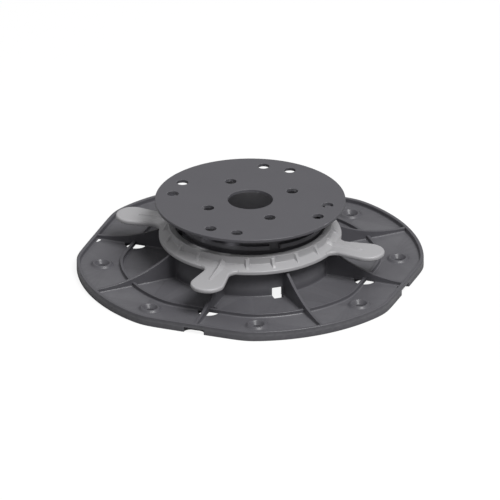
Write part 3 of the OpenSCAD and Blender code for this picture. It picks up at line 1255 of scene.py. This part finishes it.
    def _hub(self, shell: Shell) -> None:
        """The hub: a full ring above the windows, four legs between them, four keys inside.

        Args:
            shell: Where it goes.
        """
        bore, relief = self.hub_bore, self.hub_bore + self.hub_relief
        corners = [(relief, self.window_top), (self.hub, self.window_top), (self.hub, self.hub_top),
                   (bore, self.hub_top), (bore, self.key_foot), (relief, self.key_foot)]
        turned_ring(shell, rounded_corners(corners, self.hub_rounding, 5), 288)
        for k in range(4):
            turn = math.radians(self.key_angle) + k * np.pi / 2
            self._leg(shell, turn)
            self._key(shell, turn)

    def _leg(self, shell: Shell, turn: float) -> None:
        """A leg of the hub's wall between two windows, its foot flared.

        Args:
            shell: Where it goes.
            turn: Angle in radians of the window it starts from.
        """
        relief = self.hub_bore + self.hub_relief
        half = math.asin(self.window_half / self.hub)
        span = np.linspace(half, np.pi / 2 - half, 65)
        fillet = quarter_round(self.foot_fillet)
        flare = np.stack([self.hub + fillet[:, 1], self.plate + fillet[:, 0]], axis=1)[::-1]
        leg = np.concatenate([[(relief, self.plate)], flare,
                              [(self.hub, self.window_top), (relief, self.window_top)]])
        plan = polar(leg[:, :1], (span + turn)[None])
        z = np.broadcast_to(leg[:, 1:2, None], (*plan.shape[:2], 1))
        shell.tube(np.concatenate([plan, z], axis=2))

    def _key(self, shell: Shell, turn: float) -> None:
        """An upright key inside the hub, which fits a gap in the head's thread.

        Args:
            shell: Where it goes.
            turn: Its angle in radians.
        """
        back = self.hub_bore + self.key_sunk
        outline = rounded_corners(
            [(self.key_tip, -self.key_half), (back, -self.key_half),
             (back, self.key_half), (self.key_tip, self.key_half)],
            [self.key_corner, 0, 0, self.key_corner], 4)
        side = rounded_side(self.key_foot, self.hub_top - 0.1, self.key_edge, self.key_edge, 3)
        plate(shell, [Rim(turned(outline, turn), side)])


# ----------------------------------------------------------------------- view

@dataclass(frozen=True)
class Viewpoint:
    """A view with no perspective, given by its direction and its width."""

    azimuth: float = 20.0
    elevation: float = 25.5
    width: float = 0.28777
    target: tuple[float, float, float] = (0.0, 0.0, 0.01066)
    aside: float = -0.000115
    distance: float = 1.2

    def build(self) -> bpy.types.Object:
        """Makes the scene's camera.

        Returns:
            The camera, at target + distance * back + aside * right.
        """
        turn, lift = math.radians(self.azimuth), math.radians(self.elevation)
        back = Vector((math.sin(turn) * math.cos(lift),
                       -math.cos(turn) * math.cos(lift),
                       math.sin(lift)))
        right = Vector((math.cos(turn), math.sin(turn), 0.0))
        lens = bpy.data.cameras.new("viewpoint")
        lens.type = "ORTHO"
        lens.ortho_scale = self.width
        lens.clip_start, lens.clip_end = 0.01, 20.0
        camera = bpy.data.objects.new("viewpoint", lens)
        bpy.context.collection.objects.link(camera)
        camera.location = Vector(self.target) + self.distance * back + self.aside * right
        camera.rotation_mode = "QUATERNION"
        camera.rotation_quaternion = (-back).to_track_quat("-Z", "Y")
        bpy.context.scene.camera = camera
        return camera


@dataclass(frozen=True)
class Studio:
    """White sweep, light that grows from the horizon up, and one broad lamp above."""

    horizon: float = 0.09
    zenith: float = 0.50
    darkest: float = -0.1
    lamp_power: float = 37.0
    lamp_size: float = 1.0
    lamp_place: tuple[float, float, float] = (1.02, -0.62, 1.87)
    stem_glow: float = 0.007
    stem_glow_height: float = 0.02
    stem_glow_size: float = 0.01
    floor_half: float = 4.0
    floor_tone: float = 0.35
    floor_white: float = 0.80
    floor_own_light: float = 0.82
    floor_glow: float = 1.07

    def build(self) -> None:
        """Builds the world, the lamps and the floor."""
        bpy.context.scene.view_settings.view_transform = "Standard"
        self._world()
        self._lamp()
        self._stem_light()
        self._floor()

    def _world(self) -> None:
        """World light that grows smoothly with height; the camera sees plain white."""
        world = bpy.data.worlds.new("white_studio")
        world.use_nodes = True
        bpy.context.scene.world = world
        nodes, links = world.node_tree.nodes, world.node_tree.links
        nodes.clear()
        rays = nodes.new("ShaderNodeLightPath")
        light = nodes.new("ShaderNodeBackground")
        light.inputs["Color"].default_value = (1, 1, 1, 1)
        way = nodes.new("ShaderNodeSeparateXYZ")
        links.new(nodes.new("ShaderNodeTexCoord").outputs["Generated"], way.inputs[0])
        level = nodes.new("ShaderNodeMapRange")
        level.interpolation_type = "SMOOTHSTEP"
        for name, value in (("From Min", self.darkest), ("From Max", 1.0),
                            ("To Min", self.horizon), ("To Max", self.zenith)):
            level.inputs[name].default_value = value
        links.new(way.outputs["Z"], level.inputs["Value"])
        links.new(level.outputs["Result"], light.inputs["Strength"])
        shown = nodes.new("ShaderNodeBackground")
        shown.inputs["Color"].default_value = (1, 1, 1, 1)
        shown.inputs["Strength"].default_value = 1.0
        mix = nodes.new("ShaderNodeMixShader")
        out = nodes.new("ShaderNodeOutputWorld")
        links.new(rays.outputs["Is Camera Ray"], mix.inputs["Fac"])
        links.new(light.outputs[0], mix.inputs[1])
        links.new(shown.outputs[0], mix.inputs[2])
        links.new(mix.outputs[0], out.inputs["Surface"])

    def _lamp(self) -> None:
        """One broad soft lamp, aimed at the object."""
        data = bpy.data.lights.new("soft_lamp", "AREA")
        data.energy = self.lamp_power
        data.size = self.lamp_size
        lamp = bpy.data.objects.new("soft_lamp", data)
        bpy.context.collection.objects.link(lamp)
        lamp.location = self.lamp_place
        aim = -Vector(self.lamp_place)
        lamp.rotation_mode = "QUATERNION"
        lamp.rotation_quaternion = aim.to_track_quat("-Z", "Y")

    def _stem_light(self) -> None:
        """A faint light inside the stem, for what a white ground throws up through the hub."""
        data = bpy.data.lights.new("stem_light", "POINT")
        data.energy = self.stem_glow
        data.shadow_soft_size = self.stem_glow_size
        lamp = bpy.data.objects.new("stem_light", data)
        bpy.context.collection.objects.link(lamp)
        lamp.location = (0.0, 0.0, self.stem_glow_height)

    def _floor(self) -> None:
        """White floor that keeps a soft shadow under the object."""
        h = self.floor_half
        mesh = bpy.data.meshes.new("floor")
        mesh.from_pydata([(-h, -h, 0), (h, -h, 0), (h, h, 0), (-h, h, 0)], [], [(0, 1, 2, 3)])
        floor = bpy.data.objects.new("floor", mesh)
        bpy.context.collection.objects.link(floor)
        mat = bpy.data.materials.new("white_floor")
        mat.use_nodes = True
        nodes, links = mat.node_tree.nodes, mat.node_tree.links
        nodes.clear()
        rays = nodes.new("ShaderNodeLightPath")
        share = nodes.new("ShaderNodeMath")
        share.operation = "MULTIPLY"
        share.inputs[1].default_value = self.floor_own_light
        plain = nodes.new("ShaderNodeBsdfDiffuse")
        tone = nodes.new("ShaderNodeMix")
        tone.data_type = "RGBA"
        tone.inputs[6].default_value = (*(self.floor_tone,) * 3, 1)
        tone.inputs[7].default_value = (*(self.floor_white,) * 3, 1)
        links.new(rays.outputs["Is Camera Ray"], tone.inputs[0])
        links.new(tone.outputs[2], plain.inputs["Color"])
        glow = nodes.new("ShaderNodeEmission")
        glow.inputs["Color"].default_value = (1, 1, 1, 1)
        glow.inputs["Strength"].default_value = self.floor_glow
        mix = nodes.new("ShaderNodeMixShader")
        out = nodes.new("ShaderNodeOutputMaterial")
        links.new(rays.outputs["Is Camera Ray"], share.inputs[0])
        links.new(share.outputs[0], mix.inputs["Fac"])
        links.new(plain.outputs[0], mix.inputs[1])
        links.new(glow.outputs[0], mix.inputs[2])
        links.new(mix.outputs[0], out.inputs["Surface"])
        mesh.materials.append(mat)


def main() -> None:
    """Builds the camera, the studio and the three mouldings."""
    logging.basicConfig(level=logging.INFO, format="%(message)s")
    Viewpoint().build()
    Studio().build()
    groups = {"mould_grain": mould_grain_group(), "edge_wear_and_highlight": edge_wear_and_highlight_group(),
              "settled_dust": settled_dust_group()}
    dark, light = DARK_PLASTIC.build(groups), LIGHT_PLASTIC.build(groups)
    for part in (Base(dark), AdjustingNut(light), Head(dark)):
        for piece in part.build():
            log.info("%s: %d faces", piece.name, len(piece.data.polygons))


if __name__ == "__main__":
    main()
